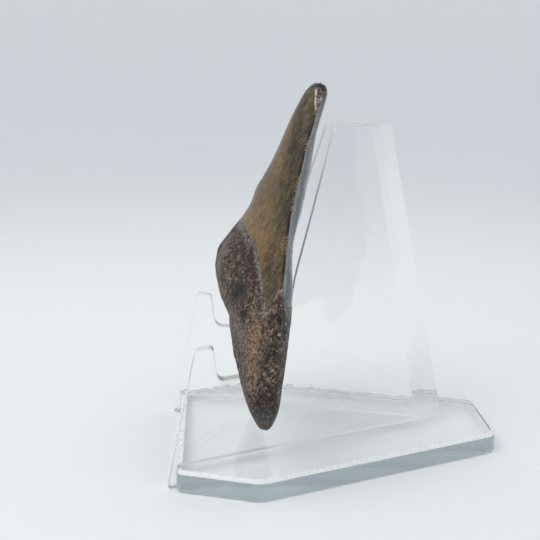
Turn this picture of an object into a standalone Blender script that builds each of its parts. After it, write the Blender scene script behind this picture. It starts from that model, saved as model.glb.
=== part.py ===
# Fossil megatooth shark tooth standing on a clear two-part display stand.
#
# Frame: metres, +Z up, origin at the bottom centre of the whole object's box.
# -Y is the front (the tooth's convex inner face looks that way), +Y the back
# (the spine of the V-shaped easel), +X the object's own left side.
#
# Three pieces, each a separate solid:
#   tooth  one fossil tooth: triangular crown, thick two-lobed root
#   easel  one moulded clear plate folded into a V, with two front hooks
#   base   one clear plate with six corners that the easel stands on

import bpy
import bmesh
import math

MM = 0.001

# ---------------------------------------------------------------- dimensions
Y_SHIFT = -21.8           # moves the drawing's y = 0 to the box centre, mm

# tooth, drawn in its own plane: x across, h up the blade, t front to back
TOOTH_TILT = 10.25        # degrees the blade leans back
TOOTH_FOOT_Y = -3.8       # where the lobe ends are, drawing y, mm
TOOTH_FOOT_Z = 18.4       # and their height above the table, mm
ARCH = 20.8               # height of the arch between the root's lobes, mm
ARCH_FADE = 33.0          # how fast the arch fades upward, mm
LOBE_ROUND = 13.0         # length over which the lobe ends are rounded, mm
TIP_ROUND = 2.6           # the same at the blunt tip, mm
ROWS_ROOT = 17
ROWS_CROWN = 25
COLS = 34                 # spans across one face

# design stations (mm)
EDGE = [(33.2, 2.8), (36.0, 3.8), (38.4, 7.2), (40.1, 12.6), (41.2, 19.8),
        (41.7, 28.0), (42.0, 36.0), (40.5, 40.0), (35.2, 49.6),
        (29.2, 60.4), (25.0, 68.1), (21.7, 74.5), (17.9, 81.7),
        (14.1, 88.8), (10.9, 94.8), (7.8, 100.4), (5.6, 104.2),
        (3.8, 107.0), (2.0, 108.4), (0.0, 108.8)]
ARCH_SHAPE = [(0.0, 1.0), (0.30, 0.975), (0.50, 0.90), (0.64, 0.80),
              (0.74, 0.67), (0.81, 0.51), (0.87, 0.30), (0.92, 0.135),
              (0.96, 0.045), (1.0, 0.0)]
EDGE_DEPTH = [(0, -0.8), (8, -1.2), (20, -1.9), (40, -2.5), (60, -2.8),
              (74, -2.9), (89, -2.0), (101, -1.2), (107, -0.6), (110, -0.2)]
FRONT_BULGE = [(0, 7.0), (4, 7.4), (8, 8.6), (13, 10.1), (19, 12.1),
               (25, 14.0), (31, 15.8), (38, 18.3), (44, 20.2), (48, 20.3),
               (55, 17.6), (62, 13.6), (68, 10.9), (74, 9.2), (82, 7.4),
               (89, 6.1), (101, 3.8), (107, 2.4), (110, 1.8)]
FRONT_FULL = [(0, 0.6), (28, 0.62), (38, 0.95), (46, 1.7), (54, 2.0),
              (90, 1.8), (110, 1.3)]
BACK_BULGE = [(0, 6.9), (8, 6.3), (13, 6.4), (19, 7.0), (25, 7.7),
              (32, 8.2), (41, 6.6), (50, 4.7), (60, 4.6), (68, 5.2),
              (74, 5.2), (82, 5.0), (89, 4.4), (101, 4.1), (107, 3.4),
              (110, 2.8)]
BACK_FULL = [(0, 0.6), (12, 0.65), (28, 1.2), (40, 1.2), (50, 1.05), (60, 1.2),
             (70, 1.6), (90, 1.6), (102, 1.1), (110, 0.9)]
# corrections of the two faces, seen in the side outline (mm)
FRONT_MORE = [(0, .5), (4, .8), (7, 1.3), (10, 2.0), (13, 2.05), (16, 1.8),
              (19, 1.2), (22.3, .35), (25, -.9), (27.5, -1.9), (30, -1.9),
              (33, -1.3), (36, -.3), (38, 0), (46, -.1), (52, -.25),
              (58, -.3), (64, -.1), (68, .4), (72, .95), (76, .5),
              (84, .1), (96, .3), (102, .2), (106, .1), (110, 0)]
BACK_MORE = [(0, .35), (6, .35), (12.5, .3), (17, .3), (22, .55),
             (25.3, .45), (29, -.2), (33, -.8), (37, -.6), (40, -.2),
             (44, .6), (48, 1.2), (54, .4), (57, -.1), (61, -.5), (66, -.4),
             (70, -.1), (74, 0), (82, .12), (88, .15), (93, -.1), (97, .1),
             (102, .5), (106, .9), (110, .4)]
# the middle of the back face is dished, where the easel's long edges pass
BACK_DISH = [(0, 0), (14, 0), (19, 3.4), (24, 4.2), (30, 4.0), (38, 3.3),
             (46, 2.5), (54, 1.6), (62, .8), (70, .2), (76, 0), (110, 0)]

# easel: a V of two plates that meet at a leaning spine at the back
SPINE_Y = 64.0            # spine at table level, drawing y, mm
SPINE_LEAN = 12.02        # degrees the spine leans forward
HALF_ANGLE = 17.18        # degrees between each plate and the middle
SPREAD = 0.001813         # how the V opens with height, 1/mm
PLATE_X = 3.2             # plate thickness measured across, mm
PLATE_DRAFT = 0.0075      # how it grows with height
EASEL_TOP = 112.5
RAIL_Z = 35.6             # the root rests at this height
HOOK_Z = 47.3
EASEL_BOTTOM = 7.9        # 0.3 above the base
FOOT_BACK_Y = -32.2
FOOT_FRONT_Y = -35.2

# base plate
BASE_T = 7.6
BASE_CORNERS = [(33.0, -31.9, 2.5), (41.6, -5.5, 9.0), (14.3, 78.6, 5.0)]
BASE_TOP_ROUND = 0.9
BASE_BOTTOM_ROUND = 0.5


# ------------------------------------------------------------------- helpers
def clear_scene():
    for ob in list(bpy.data.objects):
        bpy.data.objects.remove(ob, do_unlink=True)
    for block in (bpy.data.meshes, bpy.data.materials, bpy.data.curves):
        for item in list(block):
            if item.users == 0:
                block.remove(item)


def material(name, colour, roughness, metallic=0.0, transmission=0.0,
             alpha=1.0, ior=1.5):
    mat = bpy.data.materials.new(name)
    mat.use_nodes = True
    bsdf = mat.node_tree.nodes["Principled BSDF"]
    bsdf.inputs["Base Color"].default_value = (*colour, 1.0)
    bsdf.inputs["Roughness"].default_value = roughness
    bsdf.inputs["Metallic"].default_value = metallic
    bsdf.inputs["Transmission Weight"].default_value = transmission
    bsdf.inputs["Alpha"].default_value = alpha
    bsdf.inputs["IOR"].default_value = ior
    mat.diffuse_color = (*colour, alpha)
    return mat


def add_object(name, bm, mat):
    bmesh.ops.recalc_face_normals(bm, faces=bm.faces[:])
    mesh = bpy.data.meshes.new(name)
    bm.to_mesh(mesh)
    bm.free()
    mesh.materials.append(mat)
    ob = bpy.data.objects.new(name, mesh)
    bpy.context.scene.collection.objects.link(ob)
    return ob


def slopes(pts):
    """Monotone slopes for a smooth curve through the stations."""
    n = len(pts)
    d = [(pts[i + 1][1] - pts[i][1]) / (pts[i + 1][0] - pts[i][0])
         for i in range(n - 1)]
    m = [d[0]]
    for i in range(1, n - 1):
        if d[i - 1] * d[i] <= 0:
            m.append(0.0)
        else:
            m.append(2.0 * d[i - 1] * d[i] / (d[i - 1] + d[i]))
    m.append(d[-1])
    return m


class Curve:
    """Smooth monotone curve through (position, value) stations."""

    def __init__(self, pts):
        self.p = pts
        self.m = slopes(pts)

    def __call__(self, x):
        p = self.p
        if x <= p[0][0]:
            return p[0][1]
        if x >= p[-1][0]:
            return p[-1][1]
        i = 0
        while x > p[i + 1][0]:
            i += 1
        h = p[i + 1][0] - p[i][0]
        t = (x - p[i][0]) / h
        a, b = p[i][1], p[i + 1][1]
        return (a * (1 + 2 * t) * (1 - t) ** 2 + h * self.m[i] * t * (1 - t) ** 2
                + b * t * t * (3 - 2 * t) + h * self.m[i + 1] * t * t * (t - 1))


def rounded(corners, step=14.0):
    """Polygon with arcs: corners are (x, y, radius)."""
    out = []
    n = len(corners)
    for i in range(n):
        x0, y0, _ = corners[i - 1]
        x1, y1, r = corners[i]
        x2, y2, _ = corners[(i + 1) % n]
        if r <= 0.0:
            out.append((x1, y1))
            continue
        ax, ay = x0 - x1, y0 - y1
        bx, by = x2 - x1, y2 - y1
        la, lb = math.hypot(ax, ay), math.hypot(bx, by)
        ax, ay, bx, by = ax / la, ay / la, bx / lb, by / lb
        half = 0.5 * math.acos(max(-1.0, min(1.0, ax * bx + ay * by)))
        cut = min(r / math.tan(half), 0.45 * la, 0.45 * lb)
        r = cut * math.tan(half)
        mx, my = ax + bx, ay + by
        lm = math.hypot(mx, my)
        cx, cy = x1 + mx / lm * r / math.sin(half), y1 + my / lm * r / math.sin(half)
        a0 = math.atan2(y1 + ay * cut - cy, x1 + ax * cut - cx)
        a1 = math.atan2(y1 + by * cut - cy, x1 + bx * cut - cx)
        da = (a1 - a0 + math.pi) % (2 * math.pi) - math.pi
        k = max(2, int(math.ceil(abs(math.degrees(da)) / step)))
        for j in range(k + 1):
            a = a0 + da * j / k
            out.append((cx + r * math.cos(a), cy + r * math.sin(a)))
    return out


# --------------------------------------------------------------------- tooth
edge_len = [0.0]
for (xa, ha), (xb, hb) in zip(EDGE, EDGE[1:]):
    edge_len.append(edge_len[-1] + math.hypot(xb - xa, hb - ha))
EDGE_TOTAL = edge_len[-1]
edge_x = Curve([(s, p[0]) for s, p in zip(edge_len, EDGE)])
edge_h = Curve([(s, p[1]) for s, p in zip(edge_len, EDGE)])
arch_shape = Curve(ARCH_SHAPE)
edge_depth = Curve(EDGE_DEPTH)
front_bulge = Curve(FRONT_BULGE)
front_full = Curve(FRONT_FULL)
back_bulge = Curve(BACK_BULGE)
back_full = Curve(BACK_FULL)
front_more = Curve(FRONT_MORE)
back_more = Curve(BACK_MORE)
back_dish = Curve(BACK_DISH)


def smooth(a, b, x):
    t = max(0.0, min(1.0, (x - a) / (b - a)))
    return t * t * (3 - 2 * t)


def tooth_xht(s, u, face):
    """A point of the tooth. s runs along the side edge from the lobe end to
    the tip, u across from -1 to 1, face is -1 (front), 0 (edge) or 1 (back)."""
    ex, eh = edge_x(s), edge_h(s)
    blend = smooth(0.0, 42.0, s)
    row = (1 - blend) * arch_shape(abs(u)) + blend * (1 - u * u)
    h = eh + ARCH * math.exp(-eh / ARCH_FADE) * row
    x = ex * u
    t = edge_depth(h)
    if face:
        w = math.sqrt(max(0.0, 1 - u * u))
        close = math.sqrt(max(0.0, 1 - max(0.0, 1 - s / LOBE_ROUND) ** 2))
        left = EDGE_TOTAL - s
        close *= math.sqrt(max(0.0, 1 - max(0.0, 1 - left / TIP_ROUND) ** 2))
        if face < 0:
            t -= (front_bulge(h) + front_more(h)) * close * w ** front_full(h)
        else:
            t += (back_bulge(h) + back_more(h)) * close * w ** back_full(h)
            t -= back_dish(h) * close * math.exp(-(x / 27.0) ** 6)
    return x, h, t


def tooth_world(x, h, t):
    a = math.radians(TOOTH_TILT)
    y = TOOTH_FOOT_Y + h * math.sin(a) + t * math.cos(a) + Y_SHIFT
    z = TOOTH_FOOT_Z + h * math.cos(a) - t * math.sin(a)
    return x * MM, y * MM, z * MM


def build_tooth(mat):
    bm = bmesh.new()
    shoulder = edge_len[7]
    rows = []
    for i in range(ROWS_ROOT):                    # closer near the lobe end
        f = i / ROWS_ROOT
        rows.append(shoulder * (0.35 * f + 0.65 * (1 - math.cos(f * math.pi / 2))))
    for i in range(ROWS_CROWN + 1):               # closer near the tip
        f = i / ROWS_CROWN
        rows.append(shoulder + (EDGE_TOTAL - shoulder)
                    * (0.45 * f + 0.55 * math.sin(f * math.pi / 2)))
    us = [-math.cos(math.pi * j / COLS) for j in range(COLS + 1)]

    grid = {}
    last = len(rows) - 1
    tip = bm.verts.new(tooth_world(*tooth_xht(EDGE_TOTAL, 0.0, 0)))
    for i, s in enumerate(rows[:-1]):
        for j, u in enumerate(us):
            if i == 0 or j in (0, COLS):
                v = bm.verts.new(tooth_world(*tooth_xht(s, u, 0)))
                grid[i, j, -1] = grid[i, j, 1] = v
            else:
                for face in (-1, 1):
                    grid[i, j, face] = bm.verts.new(
                        tooth_world(*tooth_xht(s, u, face)))
    for j in range(COLS + 1):
        grid[last, j, -1] = grid[last, j, 1] = tip
    for face in (-1, 1):
        for i in range(last):
            for j in range(COLS):
                quad = []
                for key in ((i, j), (i, j + 1), (i + 1, j + 1), (i + 1, j)):
                    v = grid[key[0], key[1], face]
                    if v not in quad:
                        quad.append(v)
                if face > 0:
                    quad.reverse()
                if len(quad) >= 3:
                    bm.faces.new(quad)
    bmesh.ops.triangulate(bm, faces=bm.faces[:])
    ob = add_object("tooth", bm, mat)
    ob.data.shade_smooth()
    return ob


# --------------------------------------------------------------------- easel
def plate_xy(s, z):
    """Outer surface of the right-hand plate, s back from the spine."""
    x = s * math.sin(math.radians(HALF_ANGLE)) + SPREAD * z * s
    y = (SPINE_Y - z * math.tan(math.radians(SPINE_LEAN))
         - s * math.cos(math.radians(HALF_ANGLE)))
    return x, y


def plate_s(x, z):
    return x / (math.sin(math.radians(HALF_ANGLE)) + SPREAD * z)


def plate_thickness(z):
    return PLATE_X + PLATE_DRAFT * z


def build_easel(mat):
    # the folded plate, larger than the easel all round
    bm = bmesh.new()
    reach, spans, levels = 112.0, 9, 10
    z_low, z_high = -6.0, 120.0
    rings = []
    for k in range(levels + 1):
        z = z_low + (z_high - z_low) * k / levels
        thick = plate_thickness(z)
        crease = plate_s(thick, z)
        outer = [reach * i / spans for i in range(spans + 1)]
        inner = [crease + (reach - crease) * i / spans for i in range(spans + 1)]
        loop = []
        for s in outer:
            x, y = plate_xy(s, z)
            loop.append((x, y))
        for s in reversed(inner):
            x, y = plate_xy(s, z)
            loop.append((x - thick, y))
        for s in inner[1:]:
            x, y = plate_xy(s, z)
            loop.append((thick - x, y))
        for s in reversed(outer[1:]):
            x, y = plate_xy(s, z)
            loop.append((-x, y))
        rings.append([bm.verts.new((x * MM, (y + Y_SHIFT) * MM, z * MM))
                      for x, y in loop])
    n = len(rings[0])
    for low, high in zip(rings, rings[1:]):
        for i in range(n):
            j = (i + 1) % n
            bm.faces.new((low[i], low[j], high[j], high[i]))
    bm.faces.new(rings[-1])
    bm.faces.new(list(reversed(rings[0])))
    easel = add_object("easel", bm, mat)

    # side outline: foot, sloping front, hook, rail, long slope, flat top
    outline = rounded([
        (90.0, EASEL_BOTTOM, 0.0),
        (FOOT_BACK_Y, EASEL_BOTTOM, 0.8),
        (FOOT_BACK_Y, 0.0, 0.5),
        (FOOT_FRONT_Y, 0.0, 0.9),
        (-25.4, HOOK_Z, 1.4),
        (-19.6, HOOK_Z, 1.4),
        (-18.3, RAIL_Z, 2.6),
        (3.0, RAIL_Z, 5.0),
        (6.6, 65.0, 60.0),
        (19.9, EASEL_TOP, 1.6),
        (90.0, EASEL_TOP, 0.0),
    ])
    bm = bmesh.new()
    left = [bm.verts.new((-0.06, (y + Y_SHIFT) * MM, z * MM)) for y, z in outline]
    face = bm.faces.new(left)
    ext = bmesh.ops.extrude_face_region(bm, geom=[face])
    moved = [g for g in ext["geom"] if isinstance(g, bmesh.types.BMVert)]
    bmesh.ops.translate(bm, verts=moved, vec=(0.12, 0.0, 0.0))
    cutter = add_object("easel_outline", bm, mat)
    cutter.display_type = 'WIRE'
    cutter.hide_render = True

    mod = easel.modifiers.new("outline", 'BOOLEAN')
    mod.operation = 'INTERSECT'
    mod.solver = 'EXACT'
    mod.object = cutter
    return easel


# ---------------------------------------------------------------------- base
def build_base(mat):
    right = [(x, y, r) for x, y, r in BASE_CORNERS]
    corners = right + [(-x, y, r) for x, y, r in reversed(right)]
    plan = rounded(corners, step=12.0)
    cx = 0.0
    cy = sum(p[1] for p in plan) / len(plan)
    bm = bmesh.new()

    def inset(pts, d):
        out = []
        n = len(pts)
        for i in range(n):
            (x0, y0), (x1, y1), (x2, y2) = pts[i - 1], pts[i], pts[(i + 1) % n]
            ax, ay = x1 - x0, y1 - y0
            bx, by = x2 - x1, y2 - y1
            la, lb = math.hypot(ax, ay), math.hypot(bx, by)
            nx, ny = -(ay / la + by / lb), (ax / la + bx / lb)
            ln = math.hypot(nx, ny)
            nx, ny = nx / ln, ny / ln
            if nx * (cx - x1) + ny * (cy - y1) < 0:
                nx, ny = -nx, -ny
            out.append((x1 + nx * d, y1 + ny * d))
        return out

    r, q = BASE_TOP_ROUND, BASE_BOTTOM_ROUND
    stack = [(q, 0.0), (0.0, q), (0.0, BASE_T - r)]
    for k in (1, 2, 3):
        a = math.radians(30 * k)
        stack.append((r * (1 - math.cos(a)), BASE_T - r + r * math.sin(a)))
    rings = []
    for d, z in stack:
        pts = inset(plan, d) if d > 0 else plan
        rings.append([bm.verts.new((x * MM, (y + Y_SHIFT) * MM, z * MM))
                      for x, y in pts])
    n = len(plan)
    for low, high in zip(rings, rings[1:]):
        for i in range(n):
            j = (i + 1) % n
            bm.faces.new((low[i], low[j], high[j], high[i]))
    bm.faces.new(rings[-1])
    bm.faces.new(list(reversed(rings[0])))
    return add_object("base", bm, mat)


def main():
    clear_scene()
    fossil = material("fossil", (0.19, 0.16, 0.13), 0.42)
    clear = material("clear_plastic", (0.93, 0.95, 0.96), 0.04,
                     transmission=0.95, alpha=0.25, ior=1.49)
    clear_base = material("clear_plastic_base", (0.88, 0.91, 0.93), 0.05,
                          transmission=0.9, alpha=0.3, ior=1.49)
    build_tooth(fossil)
    build_easel(clear)
    build_base(clear_base)


main()
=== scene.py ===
# Looks for the fossil tooth on its clear two-part display stand.
#
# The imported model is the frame. All three pieces are rebuilt here from the
# same outlines at a much finer resolution: the tooth as a root and an enamel
# crown with relief and serrations, the base and the easel with rounded edges.
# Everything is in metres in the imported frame.
import math
import numpy as np
import bpy
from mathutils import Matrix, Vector


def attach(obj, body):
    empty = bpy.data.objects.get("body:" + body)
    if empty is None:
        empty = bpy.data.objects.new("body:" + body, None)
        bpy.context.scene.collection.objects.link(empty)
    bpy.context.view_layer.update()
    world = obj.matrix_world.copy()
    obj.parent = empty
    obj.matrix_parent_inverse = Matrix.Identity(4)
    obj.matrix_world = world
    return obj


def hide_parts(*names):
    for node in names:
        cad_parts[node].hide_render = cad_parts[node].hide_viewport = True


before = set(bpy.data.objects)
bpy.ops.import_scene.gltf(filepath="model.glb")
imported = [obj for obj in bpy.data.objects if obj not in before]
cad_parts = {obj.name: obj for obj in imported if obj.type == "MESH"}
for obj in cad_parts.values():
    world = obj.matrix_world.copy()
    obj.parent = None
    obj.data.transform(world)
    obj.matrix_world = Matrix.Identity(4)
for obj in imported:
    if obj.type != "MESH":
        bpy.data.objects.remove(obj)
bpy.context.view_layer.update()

MM = 0.001
Y_SHIFT = -21.8

# ------------------------------------------------- the tooth's design outline
TILT, FOOT_Y, FOOT_Z = math.radians(10.25), -3.8, 18.4
ARCH, ARCH_FADE, LOBE_ROUND, TIP_ROUND = 20.8, 33.0, 13.0, 1.3
EDGE = [(33.2, 2.8), (36.0, 3.8), (38.4, 7.2), (40.1, 12.6), (41.2, 19.8),
        (41.7, 28.0), (42.0, 36.0), (40.5, 40.0), (35.2, 49.6),
        (29.2, 60.4), (25.0, 68.1), (21.7, 74.5), (17.9, 81.7),
        (14.1, 88.8), (10.9, 94.8), (7.8, 100.4), (5.6, 104.2),
        (3.8, 107.0), (2.0, 108.4), (0.0, 108.8)]
ARCH_SHAPE = [(0.0, 1.0), (0.30, 0.975), (0.50, 0.90), (0.64, 0.80),
              (0.74, 0.67), (0.81, 0.51), (0.87, 0.30), (0.92, 0.135),
              (0.96, 0.045), (1.0, 0.0)]
EDGE_DEPTH = [(0, -0.8), (8, -1.2), (20, -1.9), (40, -2.5), (60, -2.8),
              (74, -2.9), (89, -2.0), (101, -1.2), (107, -0.6), (110, -0.2)]
EDGE_SHIFT = [(0, 0.0), (38, 0.0), (44, -0.8), (48, -1.1), (55, -1.3),
              (68, -1.3), (76, -0.65), (83, -0.2), (90, 0.1), (96, 0.9),
              (104, 1.35), (110, 1.2)]
FRONT_BULGE = [(0, 7.0), (4, 7.4), (8, 8.6), (13, 10.1), (19, 12.1),
               (25, 14.0), (31, 15.8), (38, 18.3), (44, 20.2), (48, 20.3),
               (55, 17.6), (62, 13.6), (68, 10.9), (74, 9.2), (82, 7.4),
               (89, 6.1), (101, 3.8), (107, 2.4), (110, 1.8)]
FRONT_FULL = [(0, 0.6), (28, 0.62), (38, 0.95), (46, 1.7), (54, 2.0),
              (90, 1.8), (110, 1.3)]
BACK_BULGE = [(0, 6.9), (8, 6.3), (13, 6.4), (19, 7.0), (25, 7.7),
              (32, 8.2), (41, 6.6), (50, 4.7), (60, 4.6), (68, 5.2),
              (74, 5.2), (82, 5.0), (89, 4.4), (101, 4.1), (107, 3.4),
              (110, 2.8)]
BACK_FULL = [(0, 0.6), (12, 0.65), (28, 1.2), (40, 1.2), (50, 1.05), (60, 1.2),
             (70, 1.6), (90, 1.6), (102, 1.1), (110, 0.9)]
# corrections of the two faces, seen in the side outline (mm)
FRONT_MORE = [(0, .5), (4, .8), (7, 1.3), (10, 2.0), (13, 2.05), (16, 1.8),
              (19, 1.2), (22.3, .35), (25, -.9), (27.5, -1.9), (30, -1.9),
              (33, -1.3), (36, -.3), (38, 0), (46, -.1), (52, -.25),
              (58, -.3), (64, -.1), (68, .4), (72, .95), (76, .5),
              (84, .1), (96, .3), (102, .2), (106, .1), (110, 0)]
BACK_MORE = [(0, .35), (6, .35), (12.5, .3), (17, .3), (22, .55),
             (25.3, .45), (29, -.2), (33, -.8), (37, -.6), (40, -.2),
             (44, .6), (48, 1.2), (54, .4), (57, -.1), (61, -.5), (66, -.4),
             (70, -.1), (74, 0), (82, .12), (88, .15), (93, -.1), (97, .1),
             (102, .5), (106, .9), (110, .4)]
# the middle of the back face is dished, where the easel's long edges pass
BACK_DISH = [(0, 0), (14, 0), (19, 3.4), (24, 4.2), (30, 4.0), (38, 3.3),
             (46, 2.5), (54, 1.6), (62, .8), (70, .2), (76, 0), (110, 0)]


# enamel border, share of the half width -> height on the blade (mm)
BORDER_FRONT = [(0, 60.8), (.12, 61.2), (.25, 61.1), (.35, 60.5), (.45, 59.5),
                (.52, 58.5), (.553, 57.9), (.561, 59.3), (.572, 59.5),
                (.598, 58.7), (.62, 58.1), (.673, 56.4), (.729, 54.4),
                (.78, 52.2), (.843, 48.8), (.883, 46.1), (.924, 43.6),
                (.942, 42.3), (.95, 43.1), (.955, 44.8), (.960, 46.6),
                (.968, 48.1), (.984, 49.9), (1.0, 50.5)]
BORDER_BACK = [(0, 36.2), (.25, 36.6), (.45, 38.4), (.63, 41.6), (.70, 42.6),
               (.825, 43.6), (.937, 44.4), (.975, 46.2), (.99, 48.4), (1.0, 50.5)]


# ------------------------------------------------------------------- helpers
class Curve:
    """Smooth monotone curve through (position, value) stations."""

    def __init__(self, pts):
        self.x = np.array([p[0] for p in pts], float)
        self.y = np.array([p[1] for p in pts], float)
        d = np.diff(self.y) / np.diff(self.x)
        m = np.zeros(len(pts))
        m[0], m[-1] = d[0], d[-1]
        for i in range(1, len(pts) - 1):
            if d[i - 1] * d[i] > 0:
                m[i] = 2.0 * d[i - 1] * d[i] / (d[i - 1] + d[i])
        self.m = m

    def __call__(self, x):
        x = np.clip(np.asarray(x, float), self.x[0], self.x[-1])
        i = np.clip(np.searchsorted(self.x, x, side="right") - 1, 0,
                    len(self.x) - 2)
        h = self.x[i + 1] - self.x[i]
        t = (x - self.x[i]) / h
        return (self.y[i] * (1 + 2 * t) * (1 - t) ** 2
                + h * self.m[i] * t * (1 - t) ** 2
                + self.y[i + 1] * t * t * (3 - 2 * t)
                + h * self.m[i + 1] * t * t * (t - 1))


def smooth(a, b, x):
    t = np.clip((np.asarray(x, float) - a) / (b - a), 0.0, 1.0)
    return t * t * (3 - 2 * t)


def bump(x, centre, width):
    return np.exp(-((np.asarray(x, float) - centre) / width) ** 2)


def hashed(i, j, k, seed):
    """Repeatable numbers in 0..1 for integer lattice points."""
    n = (i.astype(np.int64) * 73856093) ^ (j.astype(np.int64) * 19349663) \
        ^ (k.astype(np.int64) * 83492791) ^ (seed * 40503 + 977)
    n = (n ^ (n >> 13)) & 0x7fffffff
    n = (n * 1103515245 + 12345) & 0x7fffffff
    n = (n ^ (n >> 11)) & 0x7fffffff
    n = (n * 69069 + 1) & 0x7fffffff
    return ((n >> 7) & 0xffff) / 65535.0


def soft_noise(p, size, seed=0):
    """Smooth noise in -1..1 with features of about this size."""
    q = np.asarray(p, float) / size + 311.7
    base = np.floor(q).astype(np.int64)
    f = q - base
    f = f * f * f * (f * (f * 6 - 15) + 10)
    out = 0.0
    for dx in (0, 1):
        for dy in (0, 1):
            for dz in (0, 1):
                w = ((f[:, 0] if dx else 1 - f[:, 0])
                     * (f[:, 1] if dy else 1 - f[:, 1])
                     * (f[:, 2] if dz else 1 - f[:, 2]))
                out = out + w * hashed(base[:, 0] + dx, base[:, 1] + dy,
                                       base[:, 2] + dz, seed)
    return 2.0 * out - 1.0


def fractal(p, size, octaves=3, seed=0):
    out, amp, total = 0.0, 1.0, 0.0
    for k in range(octaves):
        out = out + amp * soft_noise(p, size / 2 ** k, seed + 17 * k)
        total += amp
        amp *= 0.5
    return out / total


def cells(p, size, seed=0):
    """Distance to the nearest scattered point, in sizes, and its number."""
    q = np.asarray(p, float) / size + 97.3
    base = np.floor(q).astype(np.int64)
    best = np.full(len(q), 9.0)
    name = np.zeros(len(q))
    for dx in (-1, 0, 1):
        for dy in (-1, 0, 1):
            for dz in (-1, 0, 1):
                c = base + np.array([dx, dy, dz])
                spot = np.stack([c[:, a] + hashed(c[:, 0], c[:, 1], c[:, 2],
                                                  seed + 5 + a)
                                 for a in range(3)], 1)
                d = np.linalg.norm(q - spot, axis=1)
                tag = hashed(c[:, 0], c[:, 1], c[:, 2], seed + 31)
                near = d < best
                best = np.where(near, d, best)
                name = np.where(near, tag, name)
    return best, name


def make_mesh(name, verts, quads):
    """Mesh from millimetre points. A quad may name one point twice."""
    mesh = bpy.data.meshes.new(name)
    faces = []
    for q in quads:
        f = []
        for v in q:
            if v not in f:
                f.append(int(v))
        if len(f) >= 3:
            faces.append(f)
    mesh.from_pydata([tuple(v) for v in np.asarray(verts) * MM], [], faces)
    mesh.validate()
    ob = bpy.data.objects.new(name, mesh)
    bpy.context.scene.collection.objects.link(ob)
    return ob


def vertex_normals(verts, tris):
    v = np.asarray(verts)
    n = np.zeros_like(v)
    fn = np.cross(v[tris[:, 1]] - v[tris[:, 0]], v[tris[:, 2]] - v[tris[:, 0]])
    for k in range(3):
        np.add.at(n, tris[:, k], fn)
    ln = np.linalg.norm(n, axis=1)
    return n / np.maximum(ln, 1e-12)[:, None]


def paint(ob, name, values):
    """A three-channel mask on the points, read by the materials."""
    values = np.clip(np.asarray(values, float), 0, 1)
    att = ob.data.attributes.new(name, "FLOAT_COLOR", "POINT")
    flat = np.ones((len(values), 4), np.float32)
    flat[:, :3] = values
    att.data.foreach_set("color", flat.ravel())


def place(ob, name, values):
    att = ob.data.attributes.new(name, "FLOAT_VECTOR", "POINT")
    att.data.foreach_set("vector", np.asarray(values, np.float32).ravel())


# ------------------------------------------------------- the tooth's surface
_len = [0.0]
for (xa, ha), (xb, hb) in zip(EDGE, EDGE[1:]):
    _len.append(_len[-1] + math.hypot(xb - xa, hb - ha))
TOTAL = _len[-1]
edge_x = Curve([(s, p[0]) for s, p in zip(_len, EDGE)])
edge_h = Curve([(s, p[1]) for s, p in zip(_len, EDGE)])
arch_shape = Curve(ARCH_SHAPE)
edge_depth = Curve(EDGE_DEPTH)
bulge = {-1: Curve(FRONT_BULGE), 1: Curve(BACK_BULGE)}
full = {-1: Curve(FRONT_FULL), 1: Curve(BACK_FULL)}
more = {-1: Curve(FRONT_MORE), 1: Curve(BACK_MORE)}
back_dish = Curve(BACK_DISH)
edge_shift = Curve(EDGE_SHIFT)


def blade(s, u):
    """Across and up, for a place along the side edge and a share across."""
    ex, eh = edge_x(s), edge_h(s)
    blend = smooth(0.0, 42.0, s)
    row = (1 - blend) * arch_shape(np.abs(u)) + blend * (1 - u * u)
    return ex * u, eh + ARCH * np.exp(-eh / ARCH_FADE) * row


def surface(s, u, face, slim=1.0):
    """Point of the tooth's skin in its own plane: across, up, depth."""
    x, h = blade(s, u)
    w = np.sqrt(np.maximum(0.0, 1 - u * u))
    close = np.sqrt(np.maximum(0.0, 1 - np.maximum(0, 1 - s / LOBE_ROUND) ** 2))
    close = close * np.sqrt(np.maximum(
        0.0, 1 - np.maximum(0, 1 - (TOTAL - s) / TIP_ROUND) ** 2))
    t = edge_depth(h) + face * slim * (bulge[face](h) + more[face](h)) * close \
        * np.maximum(w, 1e-9) ** full[face](h)
    if face > 0:
        t = t - slim * back_dish(h) * close * np.exp(-(x / 27.0) ** 6)
    return x, h, t + edge_shift(h) * u ** 8


def to_world(x, h, t):
    y = FOOT_Y + h * math.sin(TILT) + t * math.cos(TILT) + Y_SHIFT
    z = FOOT_Z + h * math.cos(TILT) - t * math.sin(TILT)
    return np.stack([x, y, z], -1)


def border(u, face):
    """Where the enamel ends, as a place along the side edge."""
    c = Curve(BORDER_FRONT if face < 0 else BORDER_BACK)
    a = np.abs(u)
    p = np.stack([u * 40.0, np.full_like(u, 3.0 * face), 0 * u], 1)
    ragged = 0.28 * fractal(p, 2.6, 3, 40) + 0.35 * soft_noise(p, 7.0, 41)
    ragged = ragged * smooth(1.0, 0.93, a)
    if face < 0:      # the far half of the front has its own, smoother border
        far = smooth(0.05, -0.05, u)
        plain = Curve([(0, 60.8), (.2, 61.0), (.4, 59.8), (.6, 57.6),
                       (.75, 53.0), (.86, 48.0), (.93, 46.0), (.97, 48.4),
                       (1.0, 50.5)])
        goal = c(a) * (1 - far) + plain(a) * far
    else:
        goal = c(a)
    goal = goal + ragged
    lo, hi = np.full_like(u, 8.0), np.full_like(u, TOTAL - 10.0)
    for _ in range(44):
        mid = 0.5 * (lo + hi)
        high = blade(mid, u)[1] > goal
        hi = np.where(high, mid, hi)
        lo = np.where(high, lo, mid)
    return 0.5 * (lo + hi)


def edge_gap(s, u):
    """Distance in from the cutting edge, mm."""
    return (1 - np.abs(u)) * edge_x(s) * 0.87


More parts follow.
